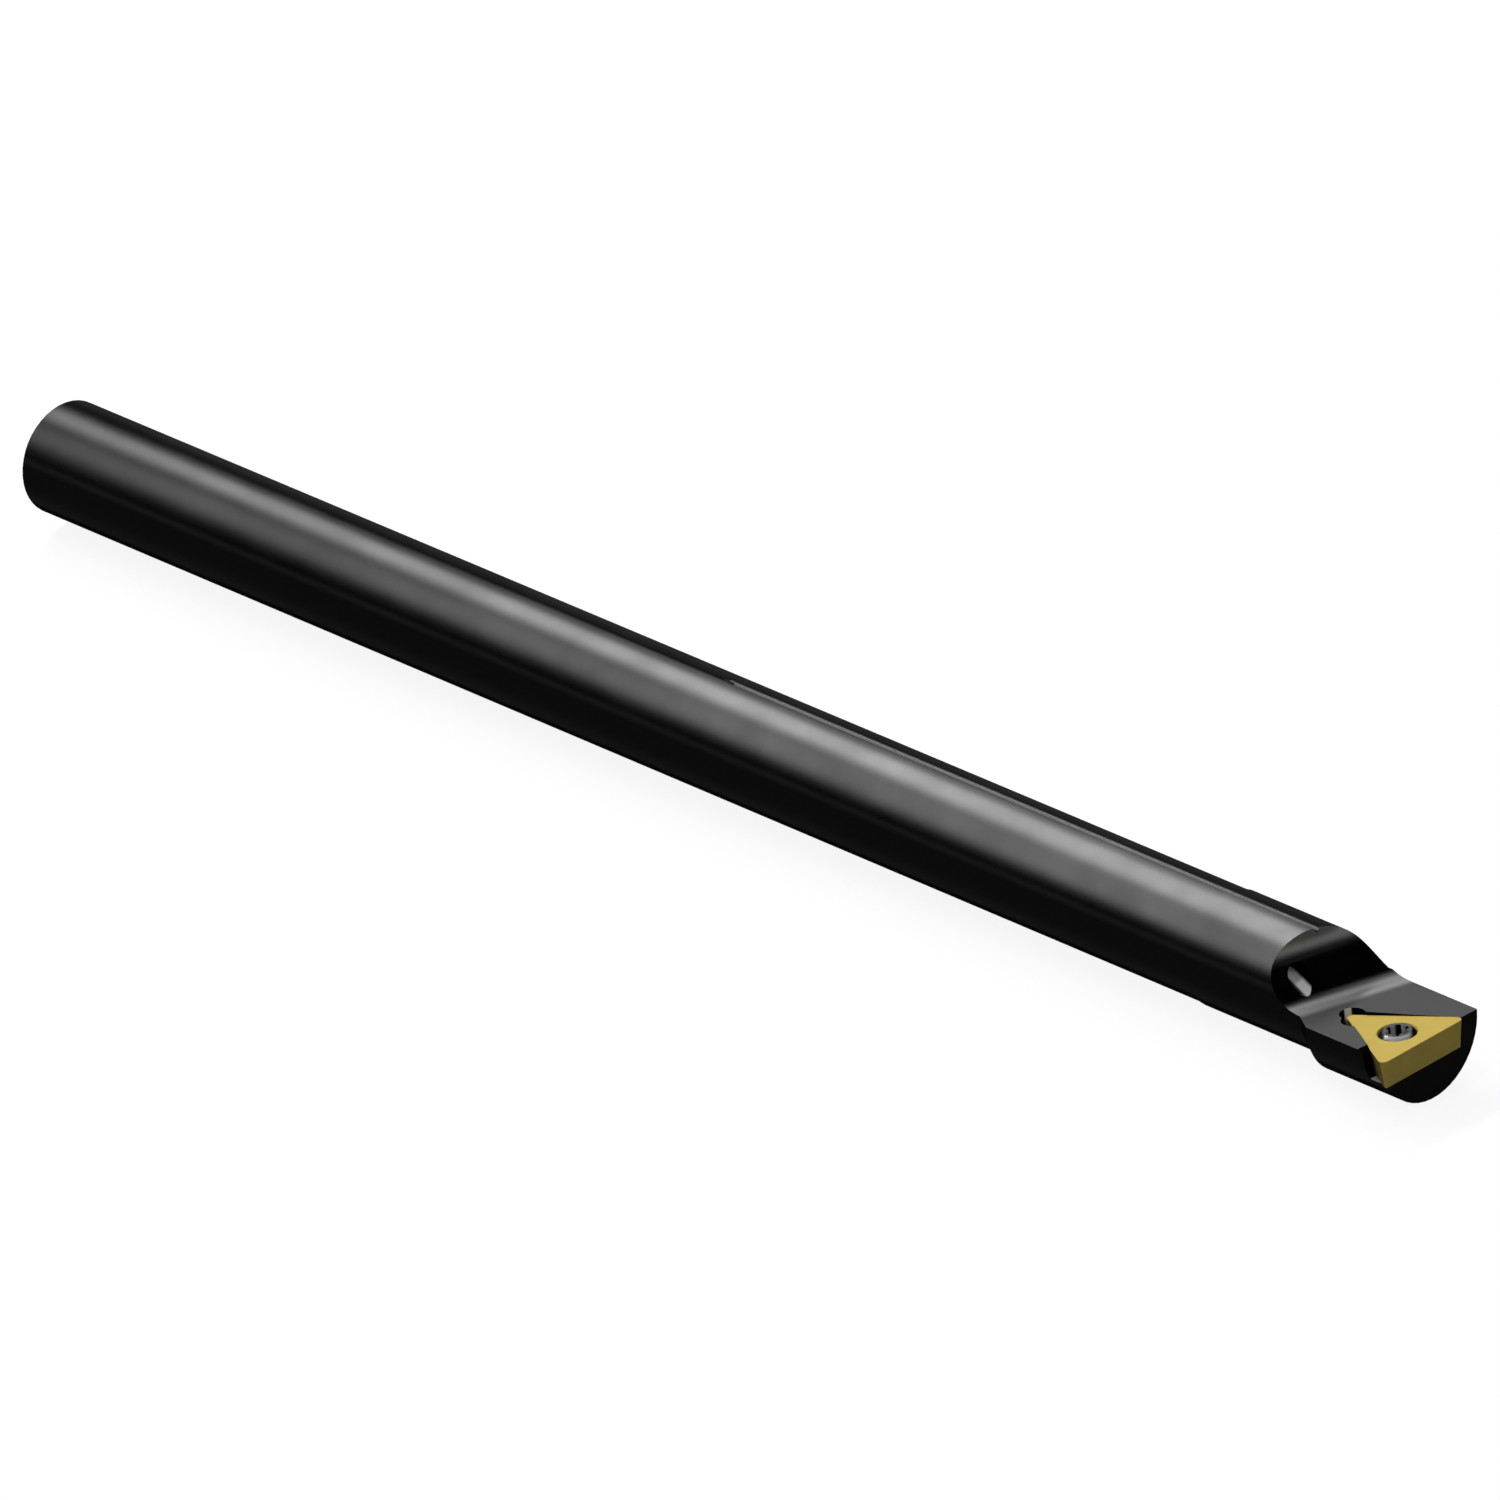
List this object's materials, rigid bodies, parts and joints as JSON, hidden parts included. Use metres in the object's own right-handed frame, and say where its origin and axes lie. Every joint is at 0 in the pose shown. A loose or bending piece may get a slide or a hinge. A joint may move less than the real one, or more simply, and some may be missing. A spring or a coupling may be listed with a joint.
{
  "type": "boring bar",
  "caption": "Left-hand boring bar: round steel shank with a coolant bore, a gashed head and a screw-clamped triangular cutting insert.",
  "frame": {"origin": "centre of the shank's rear face, on the shank axis", "axes": "+X along the shank axis from the rear face to the cutting tip, +Z normal to the flat on the rake side, -Y to the side of the cutting corner"},
  "size_m": [0.268, 0.0186, 0.0173],
  "materials": {
    "bar_steel": "satin black oxide",
    "coated_carbide": "fine satin gold-coloured hard coating",
    "screw_steel": "satin"
  },
  "bodies": {
    "root": {"bar": "bar_steel", "insert": "coated_carbide", "insert_screw": "screw_steel"}
  },
  "joints": []
}
